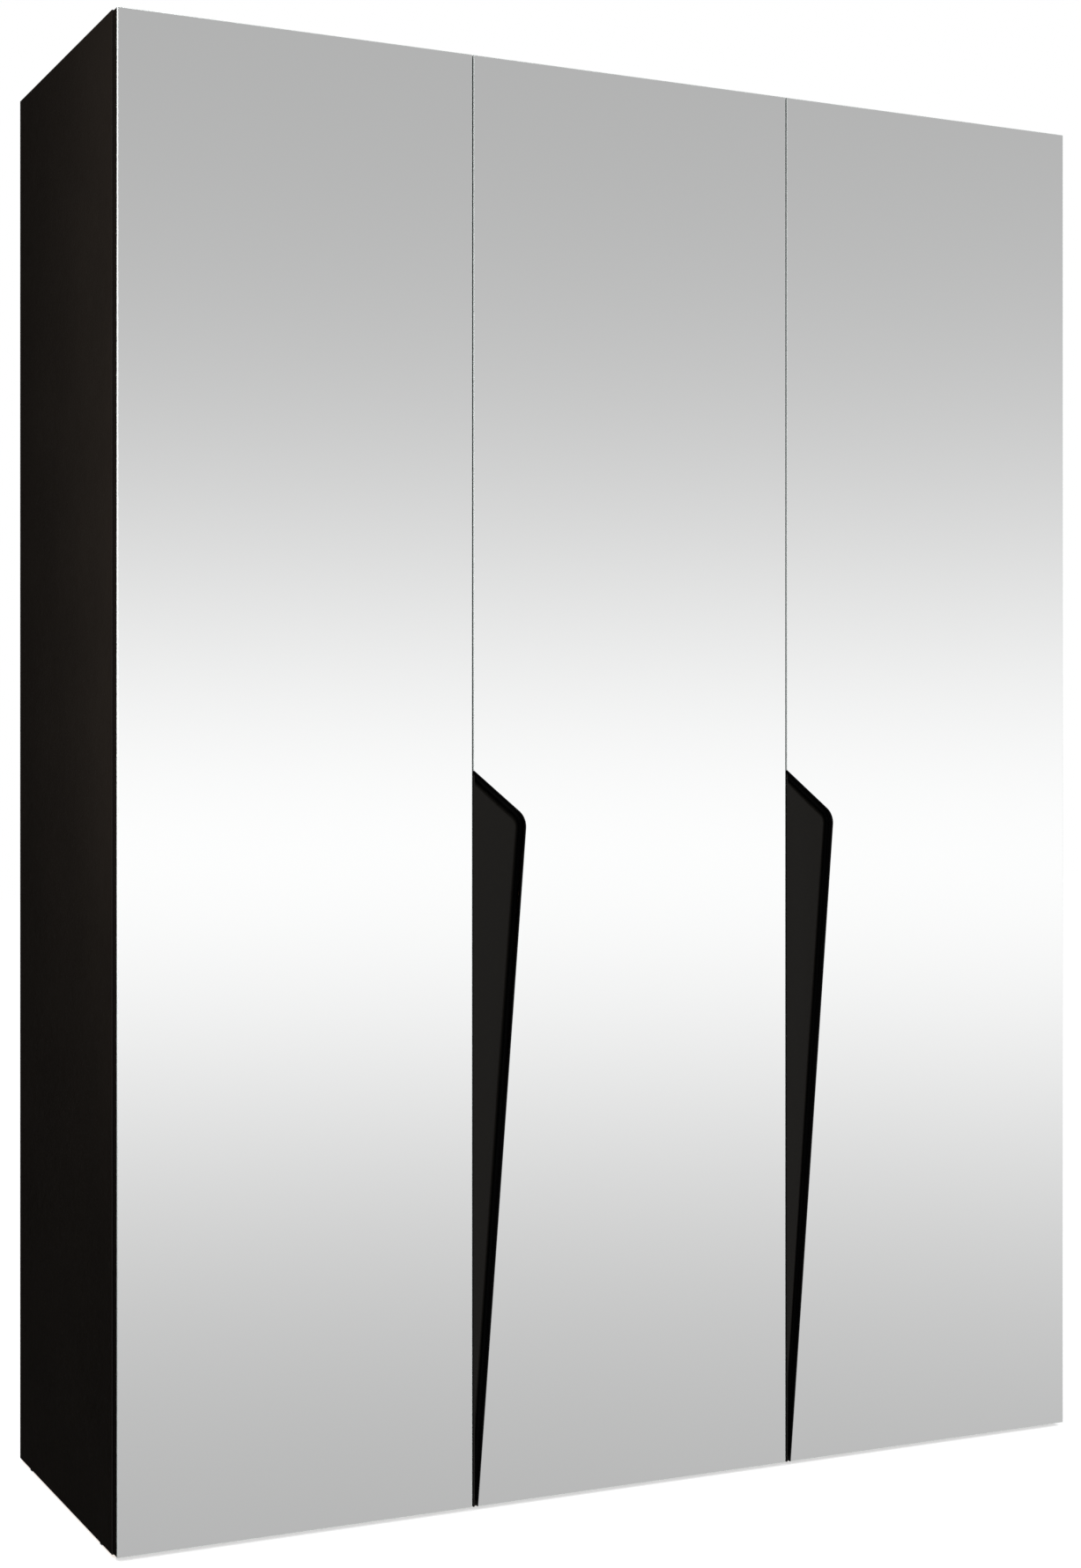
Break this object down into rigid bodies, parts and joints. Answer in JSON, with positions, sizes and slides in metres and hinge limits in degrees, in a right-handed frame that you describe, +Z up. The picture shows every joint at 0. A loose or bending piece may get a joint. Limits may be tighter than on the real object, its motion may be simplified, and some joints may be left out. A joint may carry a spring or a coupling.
{
  "type": "wardrobe with doors",
  "caption": "Free-standing hinged-door wardrobe in black-brown board with full-height mirror doors, scooped grip cut-outs, hanging rail, hat shelf and shelves.",
  "frame": {"origin": "centre of the footprint on the floor, under the glides", "axes": "+Z up, the doors face -Y, +X to the right of a person who faces the doors"},
  "size_m": [1.5, 0.52, 2.004],
  "materials": {
    "carcass_board": "black-brown melamine faced board, smooth satin",
    "door_board": "black-brown melamine faced board with matching edge band",
    "mirror": "silvered 4 mm glass with polished edges",
    "mirror_tape": "closed-cell foam tape",
    "grip_tray": "satin black moulded plastic",
    "back_panel": "thin fibreboard, painted white on the inside",
    "joint_strip": "white extruded plastic",
    "rail": "zinc-bright steel tube",
    "bracket_steel": "zinc-plated pressed steel",
    "hinge_steel": "nickel-plated pressed steel",
    "cam_metal": "zinc die casting",
    "screw_steel": "zinc-plated steel",
    "dowel_wood": "fluted beech",
    "glide_plastic": "dark nylon",
    "bumper": "soft self-adhesive disc"
  },
  "bodies": {
    "root": {"left_side_panel": "carcass_board", "right_side_panel": "carcass_board", "top_panel": "carcass_board", "bottom_panel": "carcass_board", "partition_panel": "carcass_board", "front_plinth": "carcass_board", "rear_plinth": "carcass_board", "left_back_panel": "back_panel", "middle_back_panel": "back_panel", "right_back_panel": "back_panel", "back_joint_strip": "joint_strip", "hat_shelf": "carcass_board", "clothes_rail": "rail", "rail_sockets": "bracket_steel", "rail_screws": "screw_steel", "shelf_1": "carcass_board", "shelf_2": "carcass_board", "shelf_3": "carcass_board", "shelf_4": "carcass_board", "shelf_pins": "screw_steel", "cam_locks": "cam_metal", "cam_bolts": "cam_metal", "dowels": "dowel_wood", "floor_glides": "glide_plastic", "wall_brackets": "bracket_steel", "bracket_screws": "screw_steel", "door_bumpers": "bumper", "back_nails": "screw_steel", "hinge_plates": "hinge_steel", "plate_screws": "screw_steel", "hinge_arms": "hinge_steel", "arm_screws": "screw_steel", "arm_pins": "hinge_steel"},
    "left_door": {"left_door_board": "door_board", "left_mirror": "mirror", "left_mirror_tape": "mirror_tape", "left_hinge_cups": "hinge_steel", "left_cup_screws": "screw_steel", "left_cup_pins": "hinge_steel"},
    "left_hook": {"left_hook_links": "hinge_steel"},
    "left_inner": {"left_inner_links": "hinge_steel"},
    "middle_door": {"middle_door_board": "door_board", "middle_mirror": "mirror", "middle_mirror_tape": "mirror_tape", "middle_hinge_cups": "hinge_steel", "middle_cup_screws": "screw_steel", "middle_cup_pins": "hinge_steel", "middle_grip_tray": "grip_tray"},
    "middle_hook": {"middle_hook_links": "hinge_steel"},
    "middle_inner": {"middle_inner_links": "hinge_steel"},
    "right_door": {"right_door_board": "door_board", "right_mirror": "mirror", "right_mirror_tape": "mirror_tape", "right_hinge_cups": "hinge_steel", "right_cup_screws": "screw_steel", "right_cup_pins": "hinge_steel", "right_grip_tray": "grip_tray"},
    "right_hook": {"right_hook_links": "hinge_steel"},
    "right_inner": {"right_inner_links": "hinge_steel"}
  },
  "joints": [
    {"name": "left_door_swing", "type": "hinge", "parent": "left_hook", "child": "left_door", "pos_m": [-0.738, -0.245, 1.004], "axis": [0, 0, -1], "range_deg": [0, 144]},
    {"name": "left_hook_turn", "type": "hinge", "parent": "root", "child": "left_hook", "pos_m": [-0.7165, -0.225, 1.004], "axis": [0, 0, 1], "range_deg": [0, 48]},
    {"name": "left_inner_turn", "type": "hinge", "parent": "root", "child": "left_inner", "pos_m": [-0.715, -0.239, 1.004], "axis": [0, 0, 1], "range_deg": [0, 67.5]},
    {"name": "middle_door_swing", "type": "hinge", "parent": "middle_hook", "child": "middle_door", "pos_m": [0.238, -0.245, 1.004], "axis": [0, 0, 1], "range_deg": [0, 144]},
    {"name": "middle_hook_turn", "type": "hinge", "parent": "root", "child": "middle_hook", "pos_m": [0.2165, -0.225, 1.004], "axis": [0, 0, -1], "range_deg": [0, 48]},
    {"name": "middle_inner_turn", "type": "hinge", "parent": "root", "child": "middle_inner", "pos_m": [0.215, -0.239, 1.004], "axis": [0, 0, -1], "range_deg": [0, 67.5]},
    {"name": "right_door_swing", "type": "hinge", "parent": "right_hook", "child": "right_door", "pos_m": [0.738, -0.245, 1.004], "axis": [0, 0, 1], "range_deg": [0, 144]},
    {"name": "right_hook_turn", "type": "hinge", "parent": "root", "child": "right_hook", "pos_m": [0.7165, -0.225, 1.004], "axis": [0, 0, -1], "range_deg": [0, 48]},
    {"name": "right_inner_turn", "type": "hinge", "parent": "root", "child": "right_inner", "pos_m": [0.715, -0.239, 1.004], "axis": [0, 0, -1], "range_deg": [0, 67.5]}
  ],
  "couplings": [
    {"joint": "left_hook_turn", "follows": "left_door_swing", "ratio": 0.33333},
    {"joint": "left_inner_turn", "follows": "left_door_swing", "ratio": 0.46875},
    {"joint": "middle_hook_turn", "follows": "middle_door_swing", "ratio": 0.33333},
    {"joint": "middle_inner_turn", "follows": "middle_door_swing", "ratio": 0.46875},
    {"joint": "right_hook_turn", "follows": "right_door_swing", "ratio": 0.33333},
    {"joint": "right_inner_turn", "follows": "right_door_swing", "ratio": 0.46875}
  ]
}
